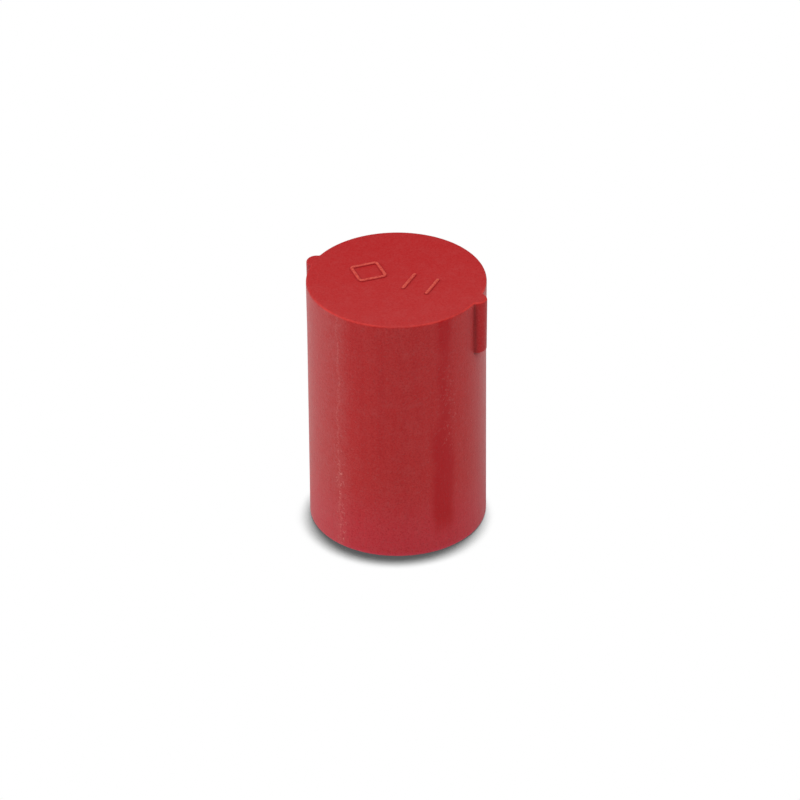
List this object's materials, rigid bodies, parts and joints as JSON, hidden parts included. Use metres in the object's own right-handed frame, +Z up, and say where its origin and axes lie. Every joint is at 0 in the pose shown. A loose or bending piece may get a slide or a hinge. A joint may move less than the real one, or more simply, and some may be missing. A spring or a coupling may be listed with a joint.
{
  "type": "hollow plug",
  "caption": "Red moulded plastic plug with a closed flat top, short half-round ribs at its top edge and a hollow open end",
  "frame": {"origin": "centre of the bottom rim, on the plane that the plug stands on", "axes": "+Z up along the plug's axis from the open rim to the closed flat top, +X through the middle of one rib, +Y completes the right-handed set"},
  "size_m": [0.0186, 0.017, 0.0261],
  "materials": {
    "red_plastic": "satin"
  },
  "bodies": {
    "root": {"plug": "red_plastic"}
  },
  "joints": []
}
